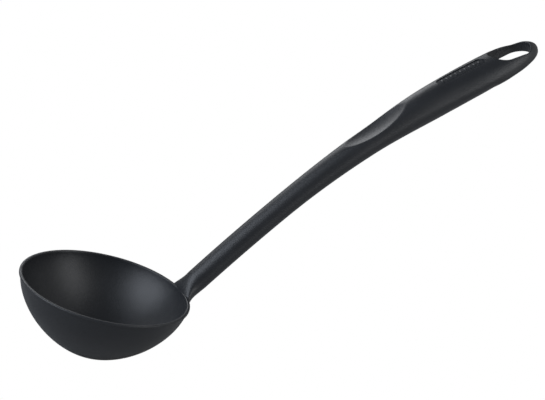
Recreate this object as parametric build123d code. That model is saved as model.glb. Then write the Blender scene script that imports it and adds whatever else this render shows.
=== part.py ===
"""Soup ladle: a round cup with a hollow moulded handle that rises steeply from its rim.

Millimetres, with the origin at the centre of the cup's flat foot, +Z up the cup's axis
and the handle in the XZ plane towards +X.
"""
from build123d import *
import math
import os

# Cup
rim_diameter = 90.0
rim_width = 1.8
lip_height = 1.2
lip_overhang = 0.7
cup_height = 37.7
foot_diameter = 16.0
floor_thickness = 2.0
cup_power = 1.68

# Line of the handle: its start beyond the rim, then three tangent arcs, turns in degrees
neck_reach = 7.2
neck_rise = 6.9
stem_slope = 51.3
stem_length = 60.0
stem_turn = 3.1
waist_length = 107.0
waist_turn = 11.6
grip_length = 72.0
grip_turn = 2.8

# Outer sections of the handle, from the neck to the tip
neck_width = 13.0
stem_width = 13.4
waist_width = 16.2
palm_width = 21.0
grip_width = 24.5
tip_width = 21.7
neck_thickness = 11.9
stem_thickness = 12.2
waist_thickness = 14.4
palm_thickness = 18.6
grip_thickness = 17.0
tip_thickness = 13.4
nose_length = 26.9
nose_width_power = 2.23
nose_height_power = 2.61
section_place_shares = (0.0, 0.25, 0.5, 0.7, 0.85, 1.0)
ring_place_shares = (
    0.0, 0.024, 0.05, 0.08, 0.118, 0.165, 0.222, 0.288, 0.363,
    0.443, 0.528, 0.613, 0.698, 0.778, 0.849, 0.91, 0.96,
)
nose_place_shares = (0.0, 0.25, 0.48, 0.68, 0.84, 0.94, 0.985, 0.998)

# Flare of the neck on the rim. Its rings: top x, top z, bottom x and bottom z as shares of
# the neck's reach and rise, widening at the top as a share of the width, power of the top
flare_depth = 3.7
flare_ring_shares = (
    (-0.76, 0.0, -0.76, -2.1, 0.85, 5.0),
    (-0.10, 0.12, 0.25, -1.35, 0.95, 4.5),
    (0.03, 0.43, 0.67, -0.58, 0.65, 3.4),
    (0.17, 0.94, 1.15, -0.06, 0.45, 2.5),
)

# Flat-bottomed loop at the tip and its hanging slot
loop_drop_share = 0.42
loop_power = 6.0
loop_rise_power = 0.6
loop_rise_length = 20.0
slot_from_tip = 17.9
slot_length = 25.5
slot_tip_width = 16.4
slot_neck_width = 16.8
slot_wall_drop = 1.5
dish_reach = 11.5
dish_depth = 7.7

# Thumb hollow on the upper side
scoop_from_tip = 111.0
scoop_length = 41.7
scoop_depth = 3.3
scoop_across_radius = 20.0
scoop_run_out_share = 1.2

# Window for the blank plate
window_from_tip = 51.5
window_length = 32.0
window_width = 7.0
window_depth = 1.1
plate_sink = 0.3

# Hollow of the handle body
body_wall = 2.0
hollow_start = 12.0
hollow_end_from_tip = 49.0
rib_spacing = 20.0
rib_thickness = 1.2

# Underside cover
cover_width_share = 0.55
cover_edge_thickness = 1.0
cover_seat_width = 1.2
cover_seat_depth = 0.9

# Tang of the cup inside the stem, and the pegs that lock it
tang_width = 6.8
tang_thickness = 5.2
tang_length = 45.0
tang_root_height = 6.2
tang_top_drop = 1.4
tang_bend_share = 0.25
peg_diameter = 2.2
peg_wall = 1.2
lock_peg_place_shares = (0.44, 0.89)
cover_peg_spacing = 40.0

# Hook of the handle in the rim's notch
notch_inner_width = 16.0
notch_outer_width = 21.0

# Clearances
seam_gap = 0.08
peg_gap = 0.1
overrun = 5.0

rim_radius = rim_diameter / 2
mouth_radius = rim_radius - rim_width
wall_radius = rim_radius - lip_overhang
foot_radius = foot_diameter / 2
handle_length = stem_length + waist_length + grip_length
hollow_end = handle_length - hollow_end_from_tip
slot_place = handle_length - slot_from_tip
loop_place = slot_place - slot_length / 2
scoop_place = handle_length - scoop_from_tip
window_place = handle_length - window_from_tip
lock_peg_places = [share * tang_length for share in lock_peg_place_shares]
cover_peg_count = int((hollow_end - hollow_start - tang_length) / cover_peg_spacing)
cover_peg_places = [tang_length + (number + 1) * cover_peg_spacing for number in range(cover_peg_count)]
widths = (neck_width, stem_width, waist_width, palm_width, grip_width, tip_width)
thicknesses = (neck_thickness, stem_thickness, waist_thickness, palm_thickness, grip_thickness, tip_thickness)


def between(places, values, at):
    """Smooth curve through the values that never swings past them."""
    steps = [b - a for a, b in zip(places, places[1:])]
    rises = [(b - a) / step for a, b, step in zip(values, values[1:], steps)]
    slopes = [rises[0]]
    for left, right in zip(rises, rises[1:]):
        slopes.append(2 * left * right / (left + right) if left * right > 0 else 0)
    slopes.append(rises[-1])
    i = max(k for k in range(len(steps)) if k == 0 or places[k] <= at)
    t = (at - places[i]) / steps[i]
    start = (1 + 2 * t) * (1 - t) ** 2 * values[i] + t * (1 - t) ** 2 * steps[i] * slopes[i]
    end = t * t * (3 - 2 * t) * values[i + 1] - t * t * (1 - t) * steps[i] * slopes[i + 1]
    return start + end


def soft_step(t):
    t = min(max(t, 0), 1)
    return t * t * (3 - 2 * t)


def spine(s):
    """Point of the handle's line at s from its start, and the line's slope in radians."""
    x = rim_radius + neck_reach
    z = cup_height + neck_rise
    slope = math.radians(stem_slope)
    arcs = ((stem_length, stem_turn), (waist_length, waist_turn), (grip_length, grip_turn))
    for number, (length, turn) in enumerate(arcs):
        last = number == len(arcs) - 1
        run = s if last else min(s, length)
        curve = math.radians(turn) / length
        middle = slope - curve * run / 2
        chord = 2 / curve * math.sin(curve * run / 2)
        x += chord * math.cos(middle)
        z += chord * math.sin(middle)
        slope -= curve * run
        s -= run
        if s <= 0:
            break
    return x, z, slope


def point(s, n=0.0, y=0.0):
    """Point at s along the handle, n above its line and y to the side."""
    x, z, slope = spine(s)
    return Vector(x - n * math.sin(slope), y, z + n * math.cos(slope))


def plane(s, n=0.0):
    """Plane square to the handle's upper side: x along the handle, z away from its line."""
    slope = spine(s)[2]
    along = (math.cos(slope), 0, math.sin(slope))
    up = (-math.sin(slope), 0, math.cos(slope))
    return Plane(origin=point(s, n), x_dir=along, z_dir=up)


def half_width(s):
    share = s / handle_length
    a = between(section_place_shares, widths, share) / 2
    q = max(0, (s - handle_length + nose_length) / nose_length)
    return a * max(0, 1 - q ** nose_width_power) ** (1 / nose_width_power)


def half_thickness(s):
    share = s / handle_length
    b = between(section_place_shares, thicknesses, share) / 2
    q = max(0, (s - handle_length + nose_length) / nose_length)
    return b * max(0, 1 - q ** nose_height_power) ** (1 / nose_height_power)


def power(value, exponent):
    return math.copysign(abs(value) ** exponent, value)


def section(middle, up, half, top_power=2.0, low_power=2.0, low_share=1.0, widen=0.0):
    """Closed face of one section: an oval whose upper and lower halves have their own powers."""
    points = []
    steps = 20
    for step in range(steps):
        angle = 2 * math.pi * (step + 0.5) / steps
        shape = top_power if math.sin(angle) > 0 else low_power
        across = half * power(math.cos(angle), 2 / shape)
        rise = power(math.sin(angle), 2 / shape)
        if rise < 0:
            rise *= low_share
        depth = (1 - rise) * up.length / flare_depth
        across *= 1 + widen * math.exp(-depth * depth)
        points.append(middle + up * rise + Vector(0, across, 0))
    shares = [step / steps for step in range(steps + 1)]
    return Face(Wire([Edge.make_spline(points, periodic=True, parameters=shares)]))


def handle_section(s, inset=0.0, top_cut=0.0):
    """Section of the handle at s, drawn in by a wall, its top lowered where a hollow lies above."""
    slope = spine(s)[2]
    high = half_thickness(s) - inset - top_cut
    low = half_thickness(s) - inset
    up = Vector(-math.sin(slope), 0, math.cos(slope)) * high
    loop = soft_step((s - loop_place + loop_rise_length / 2) / loop_rise_length)
    low_share = low / high * (1 - loop_drop_share * loop ** loop_rise_power)
    low_power = 2 + (loop_power - 2) * loop
    return section(point(s), up, half_width(s) - inset, 2.0, low_power, low_share)


def flare_section(top_x, top_z, low_x, low_z, widen, top_power):
    """Section of the neck between a point of its ridge and a point of its underside."""
    top = Vector(rim_radius + top_x * neck_reach, 0, cup_height + top_z * neck_rise)
    low = Vector(rim_radius + low_x * neck_reach, 0, cup_height + low_z * neck_rise)
    return section((top + low) / 2, (top - low) / 2, neck_width / 2, top_power, widen=widen)


def outer_handle():
    """Whole outer form of the handle, from inside the cup's wall to the tip."""
    neck = [flare_section(*shares) for shares in flare_ring_shares]
    nose_start = handle_length - nose_length
    places = [share * nose_start for share in ring_place_shares]
    places += [nose_start + share * nose_length for share in nose_place_shares]
    return loft(neck[1:] + [handle_section(s) for s in places]) + loft(neck[:2])


def curve_of_cup(radius, depth, start, end, steps=9):
    """Points of the cup's curve, radius and height, between two shares of its quarter turn."""
    points = []
    for step in range(steps):
        angle = math.pi / 2 * (start + (end - start) * step / (steps - 1))
        r = radius * power(math.cos(angle), 2 / cup_power)
        z = cup_height - depth * power(math.sin(angle), 2 / cup_power)
        points.append((r, 0, z))
    return points


def depth_of_curve():
    """Depth at which the outer curve would close, were it not cut flat at the foot."""
    cut = 1 - (foot_radius / wall_radius) ** cup_power
    return cup_height / cut ** (1 / cup_power)


def share_at(height, depth):
    """Share of the quarter turn at which the cup's curve is this far below the rim."""
    return math.asin((height / depth) ** (cup_power / 2)) * 2 / math.pi


def cup_outside(grow=0.0):
    """Solid inside the cup's outer wall below the lip, grown by a gap."""
    depth = depth_of_curve() + grow
    start = share_at(lip_height, depth)
    end = share_at(cup_height, depth)
    curve = curve_of_cup(wall_radius + grow, depth, start, end)
    top = (curve[0][0], 0, curve[0][2])
    low = (curve[-1][0], 0, curve[-1][2])
    outline = Spline(*curve) + Polyline(low, (0, 0, low[2]), (0, 0, top[2]), top)
    return revolve(make_face(outline), Axis.Z)


def cup_inside():
    """Space inside the cup, up to its rim."""
    depth = cup_height - floor_thickness
    curve = curve_of_cup(mouth_radius, depth, 0.0, 1.0, 11)
    low = (0, 0, curve[-1][2])
    curve[-1] = low
    top = (mouth_radius, 0, cup_height)
    above = cup_height + overrun
    outline = Spline(*curve) + Polyline(low, (0, 0, above), (mouth_radius, 0, above), top)
    return revolve(make_face(outline), Axis.Z)


def rim_ring(inner, outer, low, high):
    """Ring about the cup's axis, its heights measured from the rim."""
    ring = Cylinder(outer, high - low) - Cylinder(inner, high - low)
    return Pos(0, 0, cup_height + (high + low) / 2) * ring


def notch_prism(gap, low, high):
    """Wedge-sided block through the rim where the handle's hook sits, narrower by a gap."""
    inner_y = notch_inner_width / 2
    outer_y = notch_outer_width / 2
    inner_x = math.sqrt(mouth_radius ** 2 - inner_y ** 2)
    outer_x = math.sqrt(rim_radius ** 2 - outer_y ** 2)
    spread = (outer_y - inner_y) / (outer_x - inner_x)
    near = inner_x - rim_width
    far = rim_radius + lip_overhang
    near_y = inner_y - rim_width * spread - gap
    far_y = inner_y + (far - inner_x) * spread - gap
    outline = Polyline((near, near_y), (far, far_y), (far, -far_y), (near, -near_y), close=True)
    return Pos(0, 0, cup_height + low) * extrude(make_face(outline), high - low)


def tang(grow=0.0):
    """Flat bar that grows from the cup's wall, bends into the stem's line and runs up it."""
    half = tang_thickness / 2 + grow
    inner_x = wall_radius - overrun
    top_z = cup_height - lip_height - tang_top_drop + grow
    low_z = top_z - tang_root_height - 2 * grow
    end = tang_length + grow
    bend = tang_length * tang_bend_share
    corners = [Vector(inner_x, 0, low_z), Vector(wall_radius + tang_top_drop, 0, low_z)]
    corners += [point(s, -half) for s in (-tang_root_height / 2, bend, end)]
    corners += [point(s, half) for s in (end, bend, -tang_top_drop)]
    corners += [Vector(rim_radius - lip_overhang / 2, 0, top_z), Vector(inner_x, 0, top_z)]
    return extrude(make_face(Polyline(*corners, close=True)), tang_width / 2 + grow, both=True)


def peg(s, low, high, radius):
    """Cylinder square to the handle's line at s, from low to high above the line."""
    return plane(s, low) * Cylinder(radius, high - low, align=(Align.CENTER, Align.CENTER, Align.MIN))


def slab(s, thickness):
    """Thin block across the handle at s."""
    size = grip_width + 2 * overrun
    return plane(s) * Box(thickness, size, size)


def scoop():
    """Barrel that cuts the thumb hollow: concave along the handle and across it."""
    start = scoop_place - scoop_length / 2
    end = scoop_place + scoop_length / 2
    a = point(start, half_thickness(start))
    b = point(end, half_thickness(end))
    along = (b - a).normalized()
    up = Vector(-along.Z, 0, along.X)
    middle = (a + b) / 2
    chord = (b - a).length
    radius = (chord * chord / 4 + scoop_depth ** 2) / (2 * scoop_depth)
    centre = middle + up * (radius - scoop_depth)
    reach = math.asin(chord / 2 / radius) * scoop_run_out_share
    ends = [centre + (along * math.sin(turn) - up * math.cos(turn)) * radius for turn in (-reach, reach)]
    axis_height = scoop_across_radius - scoop_depth
    lids = [end_point + up * (axis_height - up.dot(end_point - middle)) for end_point in ends]
    low = middle - up * scoop_depth
    outline = ThreePointArc(ends[0], low, ends[1]) + Polyline(ends[1], lids[1], lids[0], ends[0])
    return revolve(make_face(outline), Axis(lids[0], along))


def scoop_bottom(s):
    """How far the thumb hollow lies below the handle's ridge at s."""
    u = (s - scoop_place) / (scoop_length / 2)
    return scoop_depth * max(0, 1 - u * u)


def window_plane(sink):
    """Plane of the window: along the ridge between its ends, sunk below it."""
    start = window_place - window_length / 2
    end = window_place + window_length / 2
    a = point(start, half_thickness(start))
    b = point(end, half_thickness(end))
    along = (b - a).normalized()
    up = Vector(-along.Z, 0, along.X)
    return Plane(origin=(a + b) / 2 - up * sink, x_dir=along, z_dir=up)


def slot_outline(grow, n):
    """Outline of the hanging slot, two round ends joined by straight sides, grown all round."""
    tip_radius = slot_tip_width / 2 + grow
    neck_radius = slot_neck_width / 2 + grow
    tip_x = slot_length / 2 - slot_tip_width / 2
    neck_x = slot_neck_width / 2 - slot_length / 2
    turn = math.acos((tip_radius - neck_radius) / (tip_x - neck_x))
    tip_high = (tip_x + tip_radius * math.cos(turn), tip_radius * math.sin(turn))
    neck_high = (neck_x + neck_radius * math.cos(turn), neck_radius * math.sin(turn))
    tip_low = (tip_high[0], -tip_high[1])
    neck_low = (neck_high[0], -neck_high[1])
    outline = ThreePointArc(tip_low, (tip_x + tip_radius, 0), tip_high)
    outline += Line(tip_high, neck_high)
    outline += ThreePointArc(neck_high, (neck_x - neck_radius, 0), neck_low)
    outline += Line(neck_low, tip_low)
    return plane(slot_place, n) * make_face(outline)


def ledge(s):
    """Height above the handle's line of the ledge that the cover's edges seat on."""
    return cover_edge_thickness - half_thickness(s) * math.sqrt(1 - cover_width_share ** 2)


def cover_layer(start, end, grow, inner):
    """Strip of rectangles along the underside: the cover's outer layer or its narrower inner one."""
    steps = 9
    rings = []
    for step in range(steps + 1):
        s = start + (end - start) * step / steps
        edge = cover_width_share * half_width(s)
        wide = edge + grow
        high = ledge(s) + grow
        low = -half_thickness(s) - overrun
        if inner:
            wide = edge - cover_seat_width + grow
            high = ledge(s) + cover_seat_depth + grow
            low = ledge(s) - cover_edge_thickness / 2
        corners = [point(s, n, y) for n, y in ((high, -wide), (high, wide), (low, wide), (low, -wide))]
        rings.append(make_face(Polyline(*corners, close=True)))
    return loft(rings)


def cover_top(s):
    """Height of the cover's inner face above the handle's line."""
    return ledge(s) + cover_seat_depth


def roof(s):
    """Height of the hollow's roof above the handle's line."""
    return half_thickness(s) - body_wall - scoop_bottom(s)


def hollow():
    """Space inside the handle body, with its ribs and peg bosses left standing."""
    steps = 11
    places = [hollow_start + (hollow_end - hollow_start) * step / steps for step in range(steps + 1)]
    space = loft([handle_section(s, body_wall, scoop_bottom(s)) for s in places])
    place = hollow_start + rib_spacing
    while place < hollow_end - rib_spacing / 2:
        space -= slab(place, rib_thickness)
        place += rib_spacing
    boss_radius = peg_diameter / 2 + peg_gap + peg_wall
    for s in lock_peg_places:
        space -= peg(s, tang_thickness / 2, half_thickness(s), boss_radius)
    for s in cover_peg_places:
        space -= peg(s, cover_top(s) + 2 * seam_gap, half_thickness(s), boss_radius)
    return space


def make_bowl():
    """Cup with its lip, flat foot, notch for the hook, and the tang."""
    cup = cup_outside() + rim_ring(wall_radius / 2, rim_radius, -lip_height, 0.0)
    cup += tang()
    cup -= cup_inside()
    cup -= notch_prism(0.0, -lip_height, overrun)
    radius = peg_diameter / 2 + peg_gap
    for s in lock_peg_places:
        cup -= peg(s, -tang_thickness, tang_thickness, radius)
    return cup


def make_handle_body(outer):
    """Visible top and sides of the handle, hollow underneath, with the loop at its tip."""
    hook = rim_ring(mouth_radius - rim_width, rim_radius, seam_gap - lip_height, 0.0)
    hook = hook & notch_prism(seam_gap, -lip_height, overrun)
    body = outer + hook
    mouth = Pos(0, 0, cup_height) * Cylinder(mouth_radius, 2 * lip_height + 2 * overrun)
    body -= mouth
    body -= cup_outside(seam_gap)
    rest_of_lip = rim_ring(mouth_radius - rim_width, rim_radius + seam_gap, -lip_height - seam_gap, overrun)
    body -= rest_of_lip - notch_prism(seam_gap, -lip_height - overrun, 2 * overrun)
    body -= scoop()
    body -= window_plane(window_depth) * extrude(SlotOverall(window_length, window_width), overrun)
    body -= extrude(slot_outline(0.0, -grip_thickness), 2 * grip_thickness)
    body -= loft([slot_outline(0.0, -slot_wall_drop), slot_outline(dish_reach, -slot_wall_drop - dish_depth)])
    body -= hollow()
    body -= cover_layer(hollow_start, hollow_end, seam_gap, False)
    body -= cover_layer(hollow_start, hollow_end, seam_gap, True)
    body -= tang(seam_gap)
    radius = peg_diameter / 2 + peg_gap
    for s in lock_peg_places + cover_peg_places:
        body -= peg(s, cover_top(s), roof(s), radius)
    return body


def make_cover(outer):
    """Closing strip on the underside, stepped to seat in the body, with its pegs."""
    start = hollow_start + seam_gap
    end = hollow_end - seam_gap
    cover = outer & cover_layer(start, end, 0.0, False)
    cover += cover_layer(start, end, 0.0, True)
    for s in lock_peg_places + cover_peg_places:
        cover += peg(s, cover_top(s) - cover_seat_depth, roof(s) - peg_gap, peg_diameter / 2)
    return cover


def make_name_plate(outer):
    """Blank plate that lies in the window, its face following the ridge just below it."""
    length = window_length - 2 * seam_gap
    width = window_width - 2 * seam_gap
    base = window_plane(window_depth)
    blank = base * extrude(SlotOverall(length, width), overrun)
    lowered = Pos(-base.z_dir * plate_sink) * outer
    return blank & lowered


def save(name, shape):
    export_step(shape, "parts/" + name + ".step")
    print(name, len(shape.solids()), round(shape.volume))


def main():
    os.makedirs("parts", exist_ok=True)
    outer = outer_handle()
    save("bowl", make_bowl())
    save("handle_body", make_handle_body(outer))
    save("handle_back_cover", make_cover(outer))
    save("name_plate", make_name_plate(outer))


if __name__ == "__main__":
    main()
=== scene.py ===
import math

import bmesh
import bpy
import numpy as np
from bpy.props import FloatProperty, FloatVectorProperty, IntProperty, PointerProperty
from mathutils import Matrix, Vector


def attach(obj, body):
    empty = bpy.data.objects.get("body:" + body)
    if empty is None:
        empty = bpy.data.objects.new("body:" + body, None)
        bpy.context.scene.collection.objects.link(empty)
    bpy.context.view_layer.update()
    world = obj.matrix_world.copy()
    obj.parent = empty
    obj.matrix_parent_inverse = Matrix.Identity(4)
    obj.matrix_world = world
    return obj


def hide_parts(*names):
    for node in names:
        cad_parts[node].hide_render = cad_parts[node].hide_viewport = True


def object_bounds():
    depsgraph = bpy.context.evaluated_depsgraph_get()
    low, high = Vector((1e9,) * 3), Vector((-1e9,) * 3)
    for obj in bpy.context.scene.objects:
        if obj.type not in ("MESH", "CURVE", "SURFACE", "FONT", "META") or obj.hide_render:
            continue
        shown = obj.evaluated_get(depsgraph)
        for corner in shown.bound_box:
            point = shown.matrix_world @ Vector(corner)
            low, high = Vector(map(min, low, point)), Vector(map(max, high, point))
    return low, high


bl_info = {
    "name": "Soup ladle",
    "version": (1, 0, 0),
    "blender": (4, 5, 0),
    "location": "View3D > Sidebar > Ladle",
    "description": "Builds a black moulded soup ladle over its fixed frame, with its stage",
    "category": "Object",
}

MM = 0.001
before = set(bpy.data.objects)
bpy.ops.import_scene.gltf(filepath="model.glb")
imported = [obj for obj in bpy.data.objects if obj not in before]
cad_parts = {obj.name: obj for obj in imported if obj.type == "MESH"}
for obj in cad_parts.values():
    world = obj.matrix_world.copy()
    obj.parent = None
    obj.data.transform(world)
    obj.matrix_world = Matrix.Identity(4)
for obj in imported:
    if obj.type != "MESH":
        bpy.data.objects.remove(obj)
frame_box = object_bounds()

# The handle's form: shares of its length where widths and thicknesses are given, and the
# rings of the flare on the rim. Each ring: top x, top z, bottom x and bottom z as shares of
# the neck's reach and rise, widening at the top, and the power of its upper half.
SECTION_PLACE_SHARES = (0.0, 0.25, 0.5, 0.7, 0.85, 1.0)
FLARE_RING_SHARES = (
    (-0.32, -0.45, -0.60, -2.1, 1.0, 2.4),
    (-0.20, 0.20, 0.25, -1.35, 0.8, 2.3),
    (-0.06, 0.65, 0.67, -0.58, 0.4, 2.1),
    (0.13, 1.11, 1.15, -0.06, 0.1, 2.0),
)
STEM_RING_COUNT = 3
STEM_RING_PITCH = 5 * MM
FLARE_STEPS = 14

# Finest parts of the form: hair gaps between faces, merging distances and sharp edges.
HAIR = 0.02 * MM
MERGE = 0.001 * MM
SHARP = {"cup": math.radians(35), "handle": math.radians(26), "strip": math.radians(40)}

# The lamps as seen from the ladle: azimuth from the camera's side and elevation in degrees, half
# width and half height as shares of the distance, brightness, and colour.
LAMPS = {
    "lamp left": (-60, 23, 0.46, 0.42, 3.9, (0.84, 0.90, 1.0)),
    "strip right": (66, 30, 0.17, 0.58, 3.3, (0.97, 0.98, 1.0)),
    "lamp behind left": (-138, 28, 0.32, 0.29, 1.5, (0.95, 0.97, 1.0)),
    "lamp behind right": (116, 31, 0.8, 0.6, 0.3, (1.0, 1.0, 1.0)),
    "lamp behind": (-157, 26, 0.14, 0.2, 2.4, (0.95, 0.97, 1.0)),
}


def length_in_mm(name, description, default):
    """Setting for a length, with its default given in millimetres."""
    return FloatProperty(name=name, description=description, default=default * MM, unit="LENGTH")


class LadleCup(bpy.types.PropertyGroup):
    rim_diameter: length_in_mm("Rim diameter", "Width over the lip", 89.99)
    rim_width: length_in_mm("Rim width", "Flat width of the rim", 1.8)
    rim_round: length_in_mm("Rim round", "Rounding of the rim", 0.6)
    lip_height: length_in_mm("Lip height", "Height of the lip", 1.2)
    lip_overhang: length_in_mm("Lip overhang", "How far the lip stands out over the wall", 0.7)
    height: length_in_mm("Height", "Foot to rim", 37.7)
    foot_diameter: length_in_mm("Foot", "Width of the flat foot", 16)
    floor: length_in_mm("Floor", "Thickness at the bottom", 2)
    power: FloatProperty(name="Fullness", description="Power of the cup's curve", default=1.68)
    steps: IntProperty(name="Steps round", description="Faces round the cup", default=288)


class LadleHandle(bpy.types.PropertyGroup):
    neck_reach: length_in_mm("Neck reach", "Rim to the start of the line", 7.2)
    neck_rise: length_in_mm("Neck rise", "Rim to the height of the line's start", 6.897)
    slope: FloatProperty(
        name="Slope", description="Slope of the line at the neck", default=math.radians(51.3), unit="ROTATION"
    )
    lengths: FloatVectorProperty(
        name="Arc lengths", description="Stem, waist and grip", default=(60 * MM, 107 * MM, 72 * MM), unit="LENGTH"
    )
    turns: FloatVectorProperty(
        name="Arc turns",
        description="How far each arc turns down",
        default=(math.radians(3.1), math.radians(11.6), math.radians(2.8)),
        unit="ROTATION",
    )
    widths: FloatVectorProperty(
        name="Widths",
        description="Full widths at the section places",
        size=6,
        default=(13.0 * MM, 13.4 * MM, 16.2 * MM, 21.0 * MM, 24.5 * MM, 21.7 * MM),
        unit="LENGTH",
    )
    thicknesses: FloatVectorProperty(
        name="Thicknesses",
        description="Full thicknesses at the section places",
        size=6,
        default=(11.9 * MM, 12.2 * MM, 14.4 * MM, 18.6 * MM, 17.0 * MM, 13.4 * MM),
        unit="LENGTH",
    )
    nose_length: length_in_mm("Nose", "Rounded end", 26.9)
    nose_width_power: FloatProperty(name="Nose plan", description="Power of the end in plan", default=2.23)
    nose_height_power: FloatProperty(name="Nose side", description="Power of the end from the side", default=2.61)
    flare_depth: length_in_mm("Flare depth", "Depth over which the flare narrows", 7.0)
    loop_drop_share: FloatProperty(name="Loop drop", description="Share cut off the loop's underside", default=0.42)
    loop_power: FloatProperty(name="Loop power", description="Squareness of the loop's underside", default=6.0)
    loop_rise: length_in_mm("Loop rise", "Length over which the underside changes", 20)
    steps: IntProperty(name="Steps round", description="Faces round the handle", default=120)


class LadleHollows(bpy.types.PropertyGroup):
    scoop_from_tip: length_in_mm("Scoop place", "Tip to the thumb hollow's middle", 111)
    scoop_length: length_in_mm("Scoop length", "Between its points", 41.7)
    scoop_depth: length_in_mm("Scoop depth", "Below the ridge", 3.3)
    scoop_radius: length_in_mm("Scoop radius", "Across the handle", 20)
    scoop_edge: length_in_mm("Scoop edge", "Rounding of its edge", 0.35)
    window_from_tip: length_in_mm("Window place", "Tip to the window's middle", 51.5)
    window_length: length_in_mm("Window length", "End to end", 32)
    window_width: length_in_mm("Window width", "Across", 7)
    window_depth: length_in_mm("Window depth", "Below the ridge", 1.1)
    slot_from_tip: length_in_mm("Slot place", "Tip to the slot's middle", 17.9)
    slot_length: length_in_mm("Slot length", "End to end", 25.5)
    slot_tip_width: length_in_mm("Slot at tip", "End by the tip", 16.4)
    slot_neck_width: length_in_mm("Slot at neck", "End by the grip", 16.8)
    slot_round: length_in_mm("Slot round", "Rounding of its edge", 1.0)
    slot_drop: length_in_mm("Slot wall", "How far the wall goes below the line", 1.5)
    dish_reach: length_in_mm("Dish reach", "Width of the dish", 11.5)
    dish_depth: length_in_mm("Dish depth", "Depth of the dish", 7.7)


class LadleCover(bpy.types.PropertyGroup):
    start: length_in_mm("Start", "Neck end of the strip", 12)
    end_from_tip: length_in_mm("End", "Tip to the strip's end", 49)
    width_share: FloatProperty(name="Width share", description="Share of the handle's width", default=0.55)
    seam: length_in_mm("Seam", "Gap round the strip", 0.12)
    thickness: length_in_mm("Thickness", "Shown depth", 1)


class LadlePlate(bpy.types.PropertyGroup):
    sink: length_in_mm("Sink", "Below the ridge", 0.6)
    gap: length_in_mm("Gap", "Round the plate", 0.08)
    pip_count: IntProperty(name="Pips", description="Raised pips in the row", default=9)
    pip_length: length_in_mm("Pip length", "Along the handle", 1.5)
    pip_width: length_in_mm("Pip width", "Across the handle", 2.6)
    pip_height: length_in_mm("Pip height", "Above the plate", 0.35)


class LadleFinish(bpy.types.PropertyGroup):
    colour: FloatVectorProperty(
        name="Nylon", description="Colour of the moulding", subtype="COLOR", default=(0.0105, 0.0122, 0.0150)
    )
    roughness: FloatProperty(name="Roughness", description="Of the satin surface", default=0.43, subtype="FACTOR")
    grain: length_in_mm("Grain", "Width of the moulded grain", 0.5)
    grain_depth: length_in_mm("Grain depth", "Height of the grain", 0.075)


class LadleStage(bpy.types.PropertyGroup):
    view_elevation: FloatProperty(
        name="View elevation", description="Camera's axis below level", default=math.radians(16.49), unit="ROTATION"
    )
    view_roll: FloatProperty(
        name="View roll", description="Turn of the picture", default=math.radians(16.52), unit="ROTATION"
    )
    view_azimuth: FloatProperty(
        name="View azimuth",
        description="Handle's turn away from the picture plane",
        default=math.radians(33.8),
        unit="ROTATION",
    )
    view_distance: length_in_mm("View distance", "Camera to the rim", 646.4)
    focal_px: FloatProperty(name="Focal length", description="In pixels of the picture", default=1249.5)
    rim_px: FloatVectorProperty(
        name="Rim centre", description="Rim centre's pixel in the picture", size=2, default=(106.03, 285.94)
    )
    picture_px: FloatVectorProperty(
        name="Picture", description="Width and height in pixels", size=2, default=(545, 400)
    )
    floor_size: FloatProperty(name="Floor", description="Half width of the floor", default=6.0, unit="LENGTH")
    floor_colour: FloatProperty(name="Floor colour", description="Grey of the floor that lights the ladle", default=0.5)
    lamp_distance: FloatProperty(name="Lamp distance", description="Lamps to the ladle", default=2.0, unit="LENGTH")
    world_level: FloatProperty(name="World", description="Brightness of the room", default=0.15)


def settings(name):
    """One of the scene's groups of settings."""
    return getattr(bpy.context.scene, "ladle_" + name)


# The handle's line and sections


def between(places, values, at):
    """Smooth curve through the values that never swings past them."""
    places = np.asarray(places, float)
    values = np.asarray(values, float)
    at = np.asarray(at, float)
    steps = np.diff(places)
    rises = np.diff(values) / steps
    product = rises[:-1] * rises[1:]
    total = np.where(product > 0, rises[:-1] + rises[1:], 1)
    inner = np.where(product > 0, 2 * product / total, 0)
    slopes = np.concatenate([rises[:1], inner, rises[-1:]])
    i = np.clip(np.searchsorted(places, at, side="right") - 1, 0, len(steps) - 1)
    t = (at - places[i]) / steps[i]
    start = (1 + 2 * t) * (1 - t) ** 2 * values[i] + t * (1 - t) ** 2 * steps[i] * slopes[i]
    end = t * t * (3 - 2 * t) * values[i + 1] - t * t * (1 - t) * steps[i] * slopes[i + 1]
    return start + end


def soft_step(t):
    """Eases from 0 at 0 to 1 at 1."""
    t = np.clip(t, 0, 1)
    return t * t * (3 - 2 * t)


def handle_length():
    """Length of the handle's line, from the neck to the tip."""
    return sum(settings("handle").lengths)


def spine(s):
    """Points of the handle's line at s from its start, as x and z, and its slopes."""
    handle = settings("handle")
    s = np.asarray(s, float)
    x = np.full_like(s, settings("cup").rim_diameter / 2 + handle.neck_reach)
    z = np.full_like(s, settings("cup").height + handle.neck_rise)
    slope = np.full_like(s, handle.slope)
    left = s.copy()
    last = len(handle.lengths) - 1
    for number, (length, turn) in enumerate(zip(handle.lengths, handle.turns)):
        run = np.clip(left, 0 if number else -np.inf, length if number < last else np.inf)
        curve = turn / length
        middle = slope - curve * run / 2
        chord = 2 / curve * np.sin(curve * run / 2)
        x = x + chord * np.cos(middle)
        z = z + chord * np.sin(middle)
        slope = slope - curve * run
        left = left - run
    return x, z, slope


def half_size(s, values, nose_power):
    """Half of a width or thickness at s, closing over the nose."""
    handle = settings("handle")
    length = handle_length()
    half = between(SECTION_PLACE_SHARES, values, s / length) / 2
    q = np.clip((s - length + handle.nose_length) / handle.nose_length, 0, 1)
    return half * np.maximum(1 - q**nose_power, 0) ** (1 / nose_power)


def half_width(s):
    handle = settings("handle")
    return half_size(s, handle.widths, handle.nose_width_power)


def half_thickness(s):
    handle = settings("handle")
    return half_size(s, handle.thicknesses, handle.nose_height_power)


def up_from_line(s):
    """Unit vectors up from the handle's line at s."""
    slope = spine(s)[2]
    return np.stack([-np.sin(slope), 0 * slope, np.cos(slope)], -1)


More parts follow.
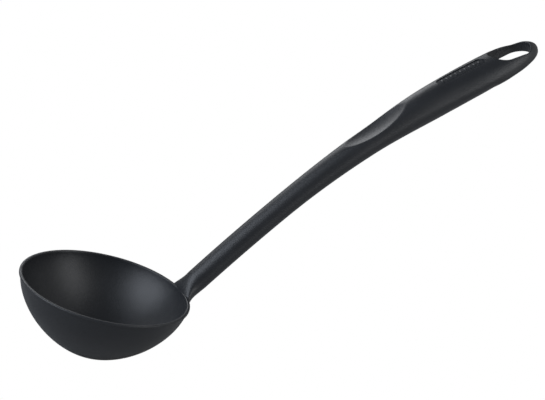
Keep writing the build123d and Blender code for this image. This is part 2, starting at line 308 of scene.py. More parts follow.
def at_line(s, n, y=0.0):
    """Points at s along the handle, n above its line and y to the side."""
    x, z, slope = spine(s)
    across = np.broadcast_to(y, np.shape(x + n))
    return np.stack([x - n * np.sin(slope), across + 0 * x, z + n * np.cos(slope)], -1)


def signed_power(value, exponent):
    return np.sign(value) * np.abs(value) ** exponent


def handle_rings(s):
    """Centre, up vector, half width, powers, underside share and widening of the sections at s."""
    handle = settings("handle")
    hollows = settings("hollows")
    x, z, _ = spine(s)
    loop_place = handle_length() - hollows.slot_from_tip - hollows.slot_length / 2
    loop = soft_step((s - loop_place + handle.loop_rise / 2) / handle.loop_rise)
    drop_power = 0.6
    return {
        "centre": np.stack([x, 0 * x, z], -1),
        "up": up_from_line(s) * half_thickness(s)[:, None],
        "half": half_width(s),
        "top_power": np.full_like(s, 2.0),
        "low_power": 2 + (handle.loop_power - 2) * loop,
        "low_share": 1 - handle.loop_drop_share * loop**drop_power,
        "widen": np.zeros_like(s),
    }


def flare_rings(steps):
    """Sections of the neck between the cup's wall and the stem, on smooth curves through its rings."""
    handle = settings("handle")
    cup = settings("cup")
    radius = cup.rim_diameter / 2
    centre, up, power, widen = [], [], [], []
    for top_x, top_z, low_x, low_z, wide, top_power in FLARE_RING_SHARES:
        top = np.array([radius + top_x * handle.neck_reach, 0, cup.height + top_z * handle.neck_rise])
        low = np.array([radius + low_x * handle.neck_reach, 0, cup.height + low_z * handle.neck_rise])
        centre.append((top + low) / 2)
        up.append((top - low) / 2)
        widen.append(wide)
        power.append(top_power)
    count = len(FLARE_RING_SHARES)
    flare = {
        "centre": centre,
        "up": up,
        "half": np.full(count, handle.widths[0] / 2),
        "top_power": power,
        "low_power": np.full(count, 2.0),
        "low_share": np.ones(count),
        "widen": widen,
    }
    stem = handle_rings(np.arange(STEM_RING_COUNT) * STEM_RING_PITCH)
    rings = {name: np.concatenate([flare[name], stem[name]]) for name in flare}
    at = np.arange(count * steps) / steps
    return {name: through(values, at) for name, values in rings.items()}


def through(values, at):
    """Smooth curve through values at 0, 1, 2 and so on."""
    values = np.asarray(values, float)
    shape = (len(at),) + (1,) * (values.ndim - 1)
    slopes = np.gradient(values, axis=0)
    i = np.clip(np.floor(at).astype(int), 0, len(values) - 2)
    t = (at - i).reshape(shape)
    start = (1 + 2 * t) * (1 - t) ** 2 * values[i] + t * (1 - t) ** 2 * slopes[i]
    end = t * t * (3 - 2 * t) * values[i + 1] - t * t * (1 - t) * slopes[i + 1]
    return start + end


def ring_points(rings, angles):
    """Points of every section at the angles, from the side (0) over the ridge (a quarter turn)."""
    handle = settings("handle")
    cos, sin = np.cos(angles)[None], np.sin(angles)[None]
    power = np.where(sin > 0, rings["top_power"][:, None], rings["low_power"][:, None])
    across = rings["half"][:, None] * signed_power(cos, 2 / power)
    rise = signed_power(sin, 2 / power)
    rise = np.where(rise < 0, rise * rings["low_share"][:, None], rise)
    tall = np.linalg.norm(rings["up"], axis=1)[:, None]
    depth = (1 - rise) * tall / handle.flare_depth
    across = across * (1 + rings["widen"][:, None] * np.exp(-depth * depth))
    points = rings["centre"][:, None, :] + rings["up"][:, None, :] * rise[..., None]
    points[..., 1] += across
    return points


def chord_frame(start, end):
    """Middle of the ridge's chord between two places, unit vectors along and up from it, and its length."""
    ends = at_line(np.array([start, end]), half_thickness(np.array([start, end])))
    along = ends[1] - ends[0]
    length = np.linalg.norm(along)
    along = along / length
    up = np.array([-along[2], 0, along[0]])
    return ends.mean(0), along, up, length


def press_scoop(points):
    """Lowers the points above the thumb hollow's barrel onto it, with a small round at its edge."""
    hollows = settings("hollows")
    place = handle_length() - hollows.scoop_from_tip
    half = hollows.scoop_length / 2
    middle, along, up, chord = chord_frame(place - half, place + half)
    depth = hollows.scoop_depth
    radius = (chord * chord / 4 + depth * depth) / (2 * depth)
    local = points - middle
    e = local @ along
    height = local @ up
    y = points[..., 1]
    floor = radius - depth - np.sqrt(np.maximum(radius**2 - e**2, 0))
    axis = hollows.scoop_radius - depth
    barrel = axis - np.sqrt(np.maximum((axis - floor) ** 2 - y**2, 0))
    # Only the ridge's side is pressed, and the push dies out a little past the hollow's ends.
    reach, fade = chord * 0.75, chord * 0.1
    side, deepest = hollows.scoop_radius * 0.6, 3 * depth
    near = (np.abs(e) < reach) & (np.abs(y) < side) & (height > -deepest)
    soft, softs_below = hollows.scoop_edge, 6
    lowered = (height + barrel) / 2 - np.sqrt(((height - barrel) / 2) ** 2 + soft**2 / 4)
    lowered = np.where(near, np.minimum(lowered, height), height)
    share = soft_step((height - barrel) / soft + softs_below) * soft_step((reach - np.abs(e)) / fade)
    return points + ((lowered - height) * share)[..., None] * up


# Meshes


def new_object(name, data):
    """New object in the scene that holds the data."""
    item = bpy.data.objects.new(name, data)
    bpy.context.scene.collection.objects.link(item)
    return item


def mesh_object(name, vertices, faces):
    """New object with a mesh of the points and faces."""
    mesh = bpy.data.meshes.new(name)
    mesh.from_pydata([tuple(v) for v in vertices], [], faces)
    mesh.update()
    return new_object(name, mesh)


def grid_faces(rows, columns):
    """Quads of a grid whose rows follow each other, closed round each row."""
    faces = []
    for row in range(rows - 1):
        for column in range(columns):
            a = row * columns + column
            b = row * columns + (column + 1) % columns
            faces.append((a, b, b + columns, a + columns))
    return faces


def clean_mesh(mesh, distance):
    """Merges points closer than the distance and turns the faces outwards."""
    work = bmesh.new()
    work.from_mesh(mesh)
    bmesh.ops.remove_doubles(work, verts=work.verts, dist=distance)
    bmesh.ops.recalc_face_normals(work, faces=work.faces)
    work.to_mesh(mesh)
    work.free()


def finish_mesh(piece, sharp_angle):
    """Cleans the mesh and shades all but its sharp edges smooth."""
    clean_mesh(piece.data, MERGE)
    piece.data.shade_smooth()
    piece.data.set_sharp_from_angle(angle=sharp_angle)


def cut_away(piece, cutter):
    """Takes the cutter out of the piece and removes the cutter."""
    modifier = piece.modifiers.new("cut", "BOOLEAN")
    modifier.operation = "DIFFERENCE"
    modifier.solver = "EXACT"
    modifier.object = cutter
    graph = bpy.context.evaluated_depsgraph_get()
    result = bpy.data.meshes.new_from_object(piece.evaluated_get(graph))
    piece.modifiers.remove(modifier)
    piece.data = result
    bpy.data.objects.remove(cutter)


def capped(rings):
    """Points and faces of a closed body through rings of equally many points."""
    count = len(rings[0])
    last = (len(rings) - 1) * count
    faces = grid_faces(len(rings), count)
    faces += [tuple(range(count))[::-1], tuple(range(last, last + count))]
    return np.concatenate(rings), faces


def turned(outline, steps):
    """Points and faces of an outline turned about the cup's axis."""
    angle = np.linspace(0, 2 * math.pi, steps, endpoint=False)
    x = outline[:, None, 0] * np.cos(angle)
    y = outline[:, None, 0] * np.sin(angle)
    z = np.broadcast_to(outline[:, 1:], x.shape)
    return np.stack([x, y, z], -1).reshape(-1, 3), grid_faces(len(outline), steps)


def settle(piece, material, node):
    """Gives a finished piece its one material and puts it on its body in place of its solid."""
    piece.data.materials.clear()
    piece.data.materials.append(material)
    piece.data.polygons.foreach_set("material_index", [0] * len(piece.data.polygons))
    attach(piece, "root")
    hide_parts(node)


# The cup


def cup_curve(radius, depth, start_height, end_height, steps):
    """Radius and height of the cup's curve between two depths below the rim."""
    cup = settings("cup")
    start = math.asin((start_height / depth) ** (cup.power / 2))
    end = math.asin((end_height / depth) ** (cup.power / 2))
    angle = np.linspace(start, end, steps)
    r = radius * np.maximum(np.cos(angle), 0) ** (2 / cup.power)
    z = cup.height - depth * np.sin(angle) ** (2 / cup.power)
    return np.stack([r, z], 1)


def arc(x, y, radius, angles):
    """Points of a circle round x and y at the angles."""
    return np.stack([x + radius * np.cos(angles), y + radius * np.sin(angles)], 1)


def cup_outline():
    """Cup's profile from the foot's centre over the lip and down to the floor's centre."""
    cup = settings("cup")
    rim = cup.rim_diameter / 2
    wall = rim - cup.lip_overhang
    mouth = rim - cup.rim_width
    foot = cup.foot_diameter / 2
    round_off = cup.rim_round
    depth = cup.height / (1 - (foot / wall) ** cup.power) ** (1 / cup.power)
    foot_round = 0.5 * MM
    low_round = 0.25 * MM
    lip_bottom = cup.height - cup.lip_height
    under_lip = cup.lip_height + 0.15 * MM
    over_foot = cup.height - 0.12 * MM
    foot_flat = np.stack([np.linspace(0, foot - foot_round, 6), np.zeros(6)], 1)
    under = cup_curve(wall, depth, under_lip, over_foot, 90)[::-1]
    step = np.array([[wall + HAIR, lip_bottom - HAIR]])
    quarter = np.radians(np.linspace(0, 90, 7))
    top = cup.height - round_off
    low_corner = arc(rim - low_round, lip_bottom + low_round, low_round, np.radians(np.linspace(-90, 0, 5)))
    top_corner = arc(rim - round_off, top, round_off, quarter)
    in_corner = arc(mouth + round_off, top, round_off, quarter + math.pi / 2)
    inside = cup_curve(mouth, cup.height - cup.floor, round_off * 1.6, cup.height - cup.floor, 110)
    return np.concatenate([foot_flat, under, step, low_corner, top_corner, in_corner, inside])


# Cutters of the handle


def slot_outline(grow, steps=96):
    """Outline of the hanging slot, grown all round: places along and across."""
    hollows = settings("hollows")
    tip_radius = hollows.slot_tip_width / 2
    neck_radius = hollows.slot_neck_width / 2
    tip_x = hollows.slot_length / 2 - tip_radius
    neck_x = neck_radius - hollows.slot_length / 2
    turn = math.acos((tip_radius - neck_radius) / (tip_x - neck_x))
    half = steps // 2
    tip_steps = half // 2
    tip = arc(tip_x, 0, tip_radius + grow, np.linspace(0, turn, tip_steps))
    neck = arc(neck_x, 0, neck_radius + grow, np.linspace(turn, math.pi, half - tip_steps + 1))
    side = np.concatenate([tip, neck])
    return np.concatenate([side, side[-2:0:-1] * [1, -1]])


def top_height(s, y):
    """Height of the handle's upper surface above its line."""
    wide = np.maximum(half_width(s), 1e-9)
    return half_thickness(s) * np.sqrt(np.maximum(1 - (y / wide) ** 2, 0))


def slot_cutter():
    """Cutter of the slot, with a round at its upper edge and the dish below it."""
    hollows = settings("hollows")
    place = handle_length() - hollows.slot_from_tip
    base = slot_outline(0.0)
    top = top_height(place + base[:, 0], base[:, 1])
    soft = hollows.slot_round
    low_round = 0.5 * MM
    above, near_above = 12 * MM, 2 * MM
    rings = [(slot_outline(soft * 1.2), top + above)]
    for angle in np.radians(np.linspace(0, 90, 9)):
        grown = slot_outline(soft * (1 - math.sin(angle)))
        level = top_height(place + grown[:, 0], grown[:, 1])
        drop = soft * (1 - math.cos(angle)) if angle > 0 else -near_above
        rings.append((grown, level - drop))
    low = np.full(len(base), -hollows.slot_drop)
    rings.append((base, (rings[-1][1] + low) / 2))
    for angle in np.radians(np.linspace(0, 60, 5)):
        rings.append((slot_outline(low_round * (1 - math.cos(angle))), low - low_round * math.sin(angle)))
    rings.append((slot_outline(hollows.dish_reach), low - hollows.dish_depth))
    return capped([at_line(place + outline[:, 0], n, outline[:, 1]) for outline, n in rings])


def stadium(length, width, steps=64):
    """Outline of a slot with round ends."""
    radius = width / 2
    end = arc(length / 2 - radius, 0, radius, np.linspace(-math.pi / 2, math.pi / 2, steps // 2))
    return np.concatenate([end, -end])


def window_frame():
    """Middle of the ridge's chord over the window, and unit vectors along it and up from it."""
    hollows = settings("hollows")
    place = handle_length() - hollows.window_from_tip
    half = hollows.window_length / 2
    return chord_frame(place - half, place + half)[:3]


def window_cutter():
    """Cutter of the window: its walls lean out by a hair and round over at the surface."""
    hollows = settings("hollows")
    middle, along, up = window_frame()
    soft = 0.25 * MM
    above = 3 * MM
    place = np.array([handle_length() - hollows.window_from_tip])
    edge = top_height(place, hollows.window_width / 2)[0] - half_thickness(place)[0]
    levels = [(0.0, -hollows.window_depth)]
    for angle in np.radians(np.linspace(0, 70, 6)):
        levels.append((soft * (1 - math.cos(angle)), edge - soft + soft * math.sin(angle)))
    levels.append((2 * soft, above))
    rings = []
    for grow, level in levels:
        outline = stadium(hollows.window_length + 2 * grow, hollows.window_width + 2 * grow)
        flat = middle + outline[:, :1] * along + level * up
        flat[:, 1] = outline[:, 1]
        rings.append(flat)
    return capped(rings)


def cup_core_cutter():
    """Cutter that ends the handle inside the cup's wall, flush with the rim's inner edge."""
    cup = settings("cup")
    over_edge, into_wall = 0.05 * MM, 0.35 * MM
    edge_drop, wall_drop = 0.4 * MM, 0.5 * MM
    mouth = cup.rim_diameter / 2 - cup.rim_width + over_edge
    above = cup.height + 20 * MM
    edge = cup.height - edge_drop
    depth = cup.height - cup.floor
    inside = cup_curve(mouth + into_wall, depth, wall_drop, depth, 60)
    return turned(np.concatenate([[[0, above], [mouth, above], [mouth, edge]], inside]), 192)


def join_cutters(cutters):
    """One object of several closed cutters that don't touch."""
    points, faces, first = [], [], 0
    for vertices, polygons in cutters:
        points.append(vertices)
        faces += [tuple(first + i for i in polygon) for polygon in polygons]
        first += len(vertices)
    cutter = mesh_object("cutter", np.concatenate(points), faces)
    clean_mesh(cutter.data, MERGE / 10)
    return cutter


# The handle, its back cover and its name plate


def handle_places():
    """Places of the rings along the handle, closer together where it has detail."""
    handle = settings("handle")
    cover = settings("cover")
    hollows = settings("hollows")
    length = handle_length()
    nose_start = length - handle.nose_length
    margin = 4 * MM
    coarse, medium, fine = 1.0 * MM, 0.8 * MM, 0.4 * MM
    scoop_start = length - hollows.scoop_from_tip - hollows.scoop_length / 2
    scoop_end = scoop_start + hollows.scoop_length
    stem = np.arange(0, scoop_start - margin, coarse)
    scoop = np.arange(scoop_start - margin, scoop_end + margin, fine)
    grip = np.arange(scoop_end + margin, nose_start, medium)
    nose = nose_start + handle.nose_length * np.sin(np.linspace(0, math.pi / 2, 44))
    cover_end = length - cover.end_from_tip
    edges = [cover.start, cover.start + 2 * HAIR, cover_end - 2 * HAIR, cover_end]
    places = np.sort(np.concatenate([stem, scoop, grip, nose[:-1], edges]))
    return places[np.concatenate([[True], np.diff(places) > HAIR])]


def handle_angles(share):
    """Angles of the handle's faces, with a pair of lines along each edge of the cover."""
    steps = settings("handle").steps
    angles = (np.arange(steps) + 0.5) / steps * 2 * math.pi
    edge = math.acos(share)
    hair, spacing = 0.003, 0.01
    extra = [side + way for side in (-edge, -math.pi + edge) for way in (-hair, hair)]
    extra = np.array(extra) % (2 * math.pi)
    spaced = [angle for angle in angles if np.min(np.abs(angle - extra)) > spacing]
    return np.sort(np.concatenate([spaced, extra]))


def build_handle():
    """Handle body: outer form with the cover's seat sunk into it, then the cuts."""
    cover = settings("cover")
    length = handle_length()
    places = handle_places()
    seam_share = cover.seam / half_width(np.array([length / 2]))[0]
    angles = handle_angles(cover.width_share + seam_share)
    neck = ring_points(flare_rings(FLARE_STEPS), angles)
    stem = press_scoop(ring_points(handle_rings(places), angles))
    end = length - cover.end_from_tip
    share = np.abs(np.cos(angles))
    under = (np.sin(angles) < 0) & (share < cover.width_share + seam_share)
    seated = (places > cover.start + HAIR) & (places < end - HAIR)
    gap_behind = 0.2 * MM
    depth = cover.thickness + gap_behind
    sunk = (seated[:, None] & under[None])[..., None] * up_from_line(places)[:, None, :] * depth
    grid = np.concatenate([neck, stem + sunk])
    columns = len(angles)
    vertices = np.concatenate([grid.reshape(-1, 3), at_line(np.array([length]), 0.0)])
    faces = grid_faces(len(grid), columns)
    tip = len(grid) * columns
    last = tip - columns
    faces += [(last + c, last + (c + 1) % columns, tip) for c in range(columns)]
    faces.append(tuple(range(columns))[::-1])
    piece = mesh_object("ladle_handle", vertices, faces)
    clean_mesh(piece.data, MERGE)
    cut_away(piece, join_cutters([slot_cutter(), window_cutter(), cup_core_cutter()]))
    finish_mesh(piece, SHARP["handle"])
    return piece


def build_cover():
    """Strip on the underside: the handle's own surface, closed by sides and an inner face."""
    cover = settings("cover")
    length = handle_length()
    end = length - cover.end_from_tip
    places = np.arange(cover.start + cover.seam, end - cover.seam, 1.0 * MM)
    places = np.append(places, end - cover.seam)
    edge = math.acos(cover.width_share)
    angles = np.linspace(-math.pi + edge, -edge, 31)
    outer = ring_points(handle_rings(places), angles)
    inner = outer + up_from_line(places)[:, None, :] * cover.thickness
    rows = np.concatenate([outer, inner[:, ::-1]], 1)
    columns = rows.shape[1]
    faces = grid_faces(len(rows), columns)
    last = (len(rows) - 1) * columns
    half = columns // 2
    for first in (0, last):
        for c in range(half - 1):
            faces.append((first + c, first + c + 1, first + columns - 2 - c, first + columns - 1 - c))
    piece = mesh_object("ladle_back_cover", rows.reshape(-1, 3), faces)
    finish_mesh(piece, SHARP["strip"])
    return piece


def build_plate():
    """Blank plate in the window: a crowned face just below the ridge, closed underneath."""
    hollows = settings("hollows")
    plate = settings("plate")
    middle, along, up = window_frame()
    length = hollows.window_length - 2 * plate.gap
    width = hollows.window_width - 2 * plate.gap
    radius = width / 2
    turn = np.linspace(0, math.pi / 2, 14)
    ends = length / 2 - radius + radius * np.sin(turn)
    straight = np.linspace(-length / 2 + radius, length / 2 - radius, 40)
    e = np.concatenate([-ends[::-1], straight[1:-1], ends])
    half = np.where(
        np.abs(e) > length / 2 - radius,
        np.sqrt(np.maximum(radius**2 - (np.abs(e) - length / 2 + radius) ** 2, 0)),
        radius,
    )
    across = np.linspace(-1, 1, 17)
    place = handle_length() - hollows.window_from_tip
    s = place + e[:, None] + 0 * across
    y = half[:, None] * across
    top = at_line(s, top_height(s, y) - plate.sink, y)
    low = middle + e[:, None, None] * along - (hollows.window_depth - HAIR) * up + 0 * top
    low[..., 1] = y
    rows = np.concatenate([top, low[:, ::-1]], 1)
    piece = mesh_object("ladle_name_plate", rows.reshape(-1, 3), grid_faces(*rows.shape[:2]))
    finish_mesh(piece, SHARP["strip"])
    return piece


# Node trees


def add_node(tree, kind, inputs=None, **properties):
    """New node with its properties and its unlinked inputs set."""
    node = tree.nodes.new(kind)
    for name, value in properties.items():
        setattr(node, name, value)
    for name, value in (inputs or {}).items():
        node.inputs[name].default_value = value
    return node


def add_links(tree, *links):
    """Links given as a node, its output, the next node and its input."""
    for source, output, target, entry in links:
        tree.links.new(source.outputs[output], target.inputs[entry])


def new_group(name, kind, outputs, inputs):
    """Node group with named sockets, each given with its kind and, where it has one, its value."""
    tree = bpy.data.node_groups.new(name, kind)
    for direction, sockets in (("OUTPUT", outputs), ("INPUT", inputs)):
        for label, (socket_kind, *value) in sockets.items():
            socket = tree.interface.new_socket(name=label, in_out=direction, socket_type="NodeSocket" + socket_kind)
            if value:
                socket.default_value = value[0]
    return tree, add_node(tree, "NodeGroupInput"), add_node(tree, "NodeGroupOutput")


def pip_tree():
    """Geometry Nodes: a row of equal oval pips along a path, lying on it."""
    inputs = {
        "Geometry": ("Geometry",),
        "Count": ("Int", 9),
        "Length": ("Float", 1.5 * MM),
        "Width": ("Float", 2.6 * MM),
        "Height": ("Float", 0.35 * MM),
        "Material": ("Material",),
    }
    tree, given, result = new_group("row of pips", "GeometryNodeTree", {"Geometry": ("Geometry",)}, inputs)
    curve = add_node(tree, "GeometryNodeMeshToCurve")
    points = add_node(tree, "GeometryNodeCurveToPoints", mode="COUNT")
    pip = add_node(tree, "GeometryNodeMeshUVSphere", {"Segments": 24, "Rings": 12, "Radius": 0.5})
    double = add_node(tree, "ShaderNodeMath", {1: 2.0}, operation="MULTIPLY")
    size = add_node(tree, "ShaderNodeCombineXYZ")
    turn = add_node(tree, "FunctionNodeAlignRotationToVector", axis="X")
    place = add_node(tree, "GeometryNodeInstanceOnPoints")
    real = add_node(tree, "GeometryNodeRealizeInstances")
    smooth = add_node(tree, "GeometryNodeSetShadeSmooth")
    paint = add_node(tree, "GeometryNodeSetMaterial")
    add_links(
        tree,
        (given, "Geometry", curve, "Mesh"),
        (curve, "Curve", points, "Curve"),
        (given, "Count", points, "Count"),
        (given, "Length", size, "X"),
        (given, "Width", size, "Y"),
        (given, "Height", double, 0),
        (double, 0, size, "Z"),
        (points, "Points", place, "Points"),
        (pip, "Mesh", place, "Instance"),
        (points, "Tangent", turn, "Vector"),
        (turn, "Rotation", place, "Rotation"),
        (size, "Vector", place, "Scale"),
        (place, "Instances", real, "Geometry"),
        (real, "Geometry", smooth, "Geometry"),
        (smooth, "Geometry", paint, "Geometry"),
        (given, "Material", paint, "Material"),
        (paint, "Geometry", result, "Geometry"),
    )
    return tree


def set_inputs(modifier, tree, values):
    """Sets a modifier's inputs by their sockets' identifiers."""
    for item in tree.interface.items_tree:
        if item.item_type == "SOCKET" and item.in_out == "INPUT" and item.name in values:
            modifier[item.identifier] = values[item.name]


def build_pips(material):
    """Raised pips in a row on the plate."""
    hollows = settings("hollows")
    plate = settings("plate")
    place = handle_length() - hollows.window_from_tip
    reach = hollows.window_length / 2 - hollows.window_width / 2
    s = place + np.linspace(-reach, reach, 33)
    line = at_line(s, half_thickness(s) - plate.sink)
    path = bpy.data.meshes.new("pip path")
    path.from_pydata([tuple(p) for p in line], [(i, i + 1) for i in range(len(line) - 1)], [])
    carrier = new_object("pip carrier", path)
    tree = pip_tree()
    modifier = carrier.modifiers.new("pips", "NODES")
    modifier.node_group = tree
    values = {name: getattr(plate, "pip_" + name.lower()) for name in ("Count", "Length", "Width", "Height")}
    set_inputs(modifier, tree, {**values, "Material": material})
    graph = bpy.context.evaluated_depsgraph_get()
    mesh = bpy.data.meshes.new_from_object(carrier.evaluated_get(graph))
    bpy.data.objects.remove(carrier)
    if not mesh.polygons:
        raise RuntimeError("the row of pips came out empty")
    return new_object("ladle_name_pips", mesh)


def grain_group():
    """Shader group: height and roughness of a fine moulded grain with slow cloudy changes."""
    tree = bpy.data.node_groups.get("moulded grain")
    if tree:
        return tree
    outputs = {"Height": ("Float",), "Roughness": ("Float",), "Cloud": ("Float",)}
    inputs = {
        "Vector": ("Vector",),
        "Grain width": ("Float", 0.5 * MM),
        "Roughness": ("Float", 0.43),
        "Roughness change": ("Float", 0.08),
    }
    tree, given, result = new_group("moulded grain", "ShaderNodeTree", outputs, inputs)
    scale = add_node(tree, "ShaderNodeMath", {0: 1.0}, operation="DIVIDE")
    grain = add_node(tree, "ShaderNodeTexNoise", {"Detail": 3.0})
    cloud = add_node(tree, "ShaderNodeTexNoise", {"Scale": 90.0, "Detail": 4.0})
    centred = add_node(tree, "ShaderNodeMath", {1: 0.5}, operation="SUBTRACT")
    change = add_node(tree, "ShaderNodeMath", operation="MULTIPLY")
    total = add_node(tree, "ShaderNodeMath", operation="ADD")
    add_links(
        tree,
        (given, "Grain width", scale, 1),
        (given, "Vector", grain, "Vector"),
        (scale, 0, grain, "Scale"),
        (given, "Vector", cloud, "Vector"),
        (cloud, "Fac", centred, 0),
        (centred, 0, change, 0),
        (given, "Roughness change", change, 1),
        (change, 0, total, 0),
        (given, "Roughness", total, 1),
        (grain, "Fac", result, "Height"),
        (total, 0, result, "Roughness"),
        (cloud, "Fac", result, "Cloud"),
    )
    return tree


def scuff_group():
    """Shader group: mask of faint short scuffs from use and washing."""
    tree = bpy.data.node_groups.get("faint scuffs")
    if tree:
        return tree
    inputs = {"Vector": ("Vector",), "Scale": ("Float", 1400.0), "Amount": ("Float", 0.3)}
    tree, given, result = new_group("faint scuffs", "ShaderNodeTree", {"Mask": ("Float",)}, inputs)
    turned_thin = {"Rotation": (0.3, 0.9, 0.5), "Scale": (1.0, 0.06, 0.35)}
    stretch = add_node(tree, "ShaderNodeMapping", turned_thin)
    lines = add_node(tree, "ShaderNodeTexNoise", {"Detail": 2.0})
    patches = add_node(tree, "ShaderNodeTexNoise", {"Scale": 60.0})
    thin = add_node(tree, "ShaderNodeMapRange", {"From Min": 0.66, "From Max": 0.78})
    where = add_node(tree, "ShaderNodeMapRange", {"From Min": 0.5, "From Max": 0.7})
    both = add_node(tree, "ShaderNodeMath", operation="MULTIPLY")
    amount = add_node(tree, "ShaderNodeMath", operation="MULTIPLY")
    add_links(
        tree,
        (given, "Vector", stretch, "Vector"),
        (stretch, "Vector", lines, "Vector"),
        (given, "Scale", lines, "Scale"),
        (given, "Vector", patches, "Vector"),
        (lines, "Fac", thin, "Value"),
        (patches, "Fac", where, "Value"),
        (thin, "Result", both, 0),
        (where, "Result", both, 1),
        (both, 0, amount, 0),
        (given, "Amount", amount, 1),
        (amount, 0, result, "Mask"),
    )
    return tree


def nylon(name, scuffs, rougher=0.0, depth_share=1.0, shine=0.5):
    """Black moulded nylon: fine grain, cloudy roughness and faint scuffs."""
    finish = settings("finish")
    colour = finish.colour
    dark, light, worn = ([share * c + more for c in colour] for share, more in ((0.85, 0), (1.15, 0), (3, 0.02)))
    material = bpy.data.materials.new(name)
    material.use_nodes = True
    material.diffuse_color = (*colour, 1)
    tree = material.node_tree
    shader = tree.nodes["Principled BSDF"]
    shader.inputs["IOR"].default_value = 1.5
    shader.inputs["Specular IOR Level"].default_value = shine
    place = add_node(tree, "ShaderNodeTexCoord")
    grains = {"Grain width": finish.grain, "Roughness": finish.roughness + rougher}
    grain = add_node(tree, "ShaderNodeGroup", grains, node_tree=grain_group())
    marks = add_node(tree, "ShaderNodeGroup", {"Amount": scuffs}, node_tree=scuff_group())
    tint = add_node(tree, "ShaderNodeMix", {"A": (*dark, 1), "B": (*light, 1)}, data_type="RGBA")
    scuffed = add_node(tree, "ShaderNodeMix", {"B": (*worn, 1)}, data_type="RGBA")
    bump = add_node(tree, "ShaderNodeBump", {"Distance": finish.grain_depth * depth_share, "Strength": 1.0})
    add_links(
        tree,
        (place, "Object", grain, "Vector"),
        (place, "Object", marks, "Vector"),
        (grain, "Cloud", tint, "Factor"),
        (marks, "Mask", scuffed, "Factor"),
        (tint, "Result", scuffed, "A"),
        (scuffed, "Result", shader, "Base Color"),
        (grain, "Roughness", shader, "Roughness"),
        (grain, "Height", bump, "Height"),
        (bump, "Normal", shader, "Normal"),
    )
    return material


# Stage


def ladle_axes():
    """Rows that turn a vector of the picture's level frame into the ladle's frame."""
    turn = settings("stage").view_azimuth
    return np.array([[math.cos(turn), math.sin(turn), 0], [-math.sin(turn), math.cos(turn), 0], [0, 0, 1]])


def camera_rows():
    """Camera's right, down and forward directions in the picture's level frame."""
    stage = settings("stage")
    ce, se = math.cos(stage.view_elevation), math.sin(stage.view_elevation)
    cr, sr = math.cos(stage.view_roll), math.sin(stage.view_roll)
    level = np.array([[1, 0, 0], [0, -se, -ce], [0, ce, -se]])
    return np.array([[cr, -sr, 0], [sr, cr, 0], [0, 0, 1]]) @ level


def add_camera():
    """Camera that puts the rim's centre on its pixel, at the distance and turn of the settings."""
    stage = settings("stage")
    rows = camera_rows()
    distance, focal = stage.view_distance, stage.focal_px
    width, height = stage.picture_px
    right = (stage.rim_px[0] - width / 2) / focal * distance
    down = (stage.rim_px[1] - height / 2) / focal * distance
    eye = -rows.T @ np.array([right, down, distance])
    axes = ladle_axes()
    eye = axes @ eye + np.array([0, 0, settings("cup").height])
    columns = (axes @ rows.T) * np.array([1, -1, -1])
    data = bpy.data.cameras.new("camera")
    data.sensor_fit = "HORIZONTAL"
    data.sensor_width = 36.0
    data.lens = focal / width * data.sensor_width
    data.clip_start = 0.01
    data.clip_end = 50
    camera = new_object("camera", data)
    matrix = Matrix(columns.tolist()).to_4x4()
    matrix.translation = Vector(eye)
    camera.matrix_world = matrix
    bpy.context.scene.camera = camera


def add_lamp(name, azimuth, elevation, half_width, half_height, level, colour):
    """Soft lamp, with the values that LAMPS lists."""
    distance = settings("stage").lamp_distance
    data = bpy.data.lights.new(name, "AREA")
    data.shape = "RECTANGLE"
    data.size = 2 * half_width * distance
    data.size_y = 2 * half_height * distance
    data.energy = level * math.pi * data.size * data.size_y
    data.color = colour
    lamp = new_object(name, data)
    side, high = math.radians(azimuth), math.radians(elevation)
    away = ladle_axes() @ [math.cos(high) * math.sin(side), -math.cos(high) * math.cos(side), math.sin(high)]
    turn = Vector(away).to_track_quat("Z", "Y")
    middle = sum((Vector(corner) for corner in frame_box), Vector()) / 2
    place = middle + Vector(away) * distance
    lamp.matrix_world = Matrix.Translation(place) @ turn.to_matrix().to_4x4()


def white_to_camera(tree, lit, white, output):
    """Mixes what lights the ladle with the plain white that the camera sees."""
    path = add_node(tree, "ShaderNodeLightPath")
    mix = add_node(tree, "ShaderNodeMixShader")
    out = add_node(tree, output)
    add_links(
        tree,
        (path, "Is Camera Ray", mix, "Fac"),
        (lit, 0, mix, 1),
        (white, 0, mix, 2),
        (mix, "Shader", out, "Surface"),
    )


def add_world():
    world = bpy.data.worlds.new("room")
    bpy.context.scene.world = world
    world.use_nodes = True
    tree = world.node_tree
    tree.nodes.clear()
    level = settings("stage").world_level
    room = add_node(tree, "ShaderNodeBackground", {"Color": (0.97, 0.98, 1.0, 1), "Strength": level})
    plain = add_node(tree, "ShaderNodeBackground", {"Color": (1, 1, 1, 1), "Strength": 1.0})
    white_to_camera(tree, room, plain, "ShaderNodeOutputWorld")


def floor_material():
    """Floor that the camera sees plain white, and that lights the ladle as a grey one."""
    material = bpy.data.materials.new("white floor")
    material.use_nodes = True
    tree = material.node_tree
    tree.nodes.clear()
    grey = settings("stage").floor_colour
    matt = add_node(tree, "ShaderNodeBsdfDiffuse", {"Color": (grey, grey, grey, 1)})
    white = add_node(tree, "ShaderNodeEmission", {"Strength": 1.0})
    white_to_camera(tree, matt, white, "ShaderNodeOutputMaterial")
    return material


def add_floor():
    half = settings("stage").floor_size
    corners = [(-half, -half, 0), (half, -half, 0), (half, half, 0), (-half, half, 0)]
    floor = mesh_object("floor", corners, [(0, 1, 2, 3)])
    floor.data.materials.append(floor_material())


# Operators, one for each piece and one for the stage


class LADLE_OT_cup(bpy.types.Operator):
    """Builds the round cup with its lip and foot"""

    bl_idname = "ladle.cup"
    bl_label = "Cup"

    def execute(self, context):
        piece = mesh_object("ladle_cup", *turned(cup_outline(), settings("cup").steps))
        finish_mesh(piece, SHARP["cup"])
        settle(piece, nylon("cup nylon", 0.35), "bowl")
        return {"FINISHED"}


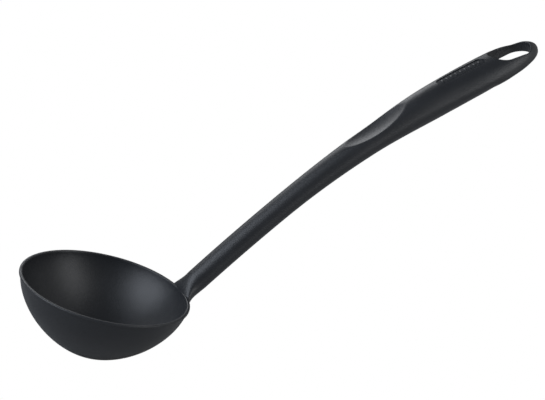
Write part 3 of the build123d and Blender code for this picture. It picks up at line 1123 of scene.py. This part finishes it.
class LADLE_OT_handle(bpy.types.Operator):
    """Builds the handle body with its flare, thumb hollow, window and loop"""

    bl_idname = "ladle.handle"
    bl_label = "Handle"

    def execute(self, context):
        settle(build_handle(), nylon("handle nylon", 0.45), "handle_body")
        return {"FINISHED"}


class LADLE_OT_back_cover(bpy.types.Operator):
    """Builds the strip that closes the handle's underside"""

    bl_idname = "ladle.back_cover"
    bl_label = "Back cover"

    def execute(self, context):
        settle(build_cover(), nylon("cover nylon", 0.5, rougher=0.04), "handle_back_cover")
        return {"FINISHED"}


class LADLE_OT_name_plate(bpy.types.Operator):
    """Builds the blank plate in the window and its row of plain pips"""

    bl_idname = "ladle.name_plate"
    bl_label = "Name plate"

    def execute(self, context):
        matt = nylon("plate nylon", 0.2, rougher=0.2, shine=0.22)
        settle(build_plate(), matt, "name_plate")
        pips = build_pips(nylon("pip nylon", 0.1, rougher=-0.1, depth_share=0.5))
        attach(pips, "root")
        return {"FINISHED"}


class LADLE_OT_stage(bpy.types.Operator):
    """Adds the floor, the room light, the lamps and the camera"""

    bl_idname = "ladle.stage"
    bl_label = "Stage"

    def execute(self, context):
        bpy.context.scene.view_settings.view_transform = "Standard"
        add_camera()
        add_world()
        add_floor()
        for name, values in LAMPS.items():
            add_lamp(name, *values)
        return {"FINISHED"}


class LADLE_PT_sidebar(bpy.types.Panel):
    bl_idname = "LADLE_PT_sidebar"
    bl_label = "Soup ladle"
    bl_space_type = "VIEW_3D"
    bl_region_type = "UI"
    bl_category = "Ladle"

    def draw(self, context):
        for operator in OPERATORS:
            self.layout.operator(operator.bl_idname)


GROUPS = (
    ("cup", LadleCup),
    ("handle", LadleHandle),
    ("hollows", LadleHollows),
    ("cover", LadleCover),
    ("plate", LadlePlate),
    ("finish", LadleFinish),
    ("stage", LadleStage),
)
OPERATORS = (LADLE_OT_cup, LADLE_OT_handle, LADLE_OT_back_cover, LADLE_OT_name_plate, LADLE_OT_stage)


def register():
    for name, group in GROUPS:
        bpy.utils.register_class(group)
        setattr(bpy.types.Scene, "ladle_" + name, PointerProperty(type=group))
    for operator in OPERATORS:
        bpy.utils.register_class(operator)
    bpy.utils.register_class(LADLE_PT_sidebar)


def unregister():
    bpy.utils.unregister_class(LADLE_PT_sidebar)
    for operator in reversed(OPERATORS):
        bpy.utils.unregister_class(operator)
    for name, group in reversed(GROUPS):
        delattr(bpy.types.Scene, "ladle_" + name)
        bpy.utils.unregister_class(group)


def main():
    register()
    bpy.ops.ladle.cup()
    bpy.ops.ladle.handle()
    bpy.ops.ladle.back_cover()
    bpy.ops.ladle.name_plate()
    bpy.ops.ladle.stage()


if __name__ == "__main__":
    main()
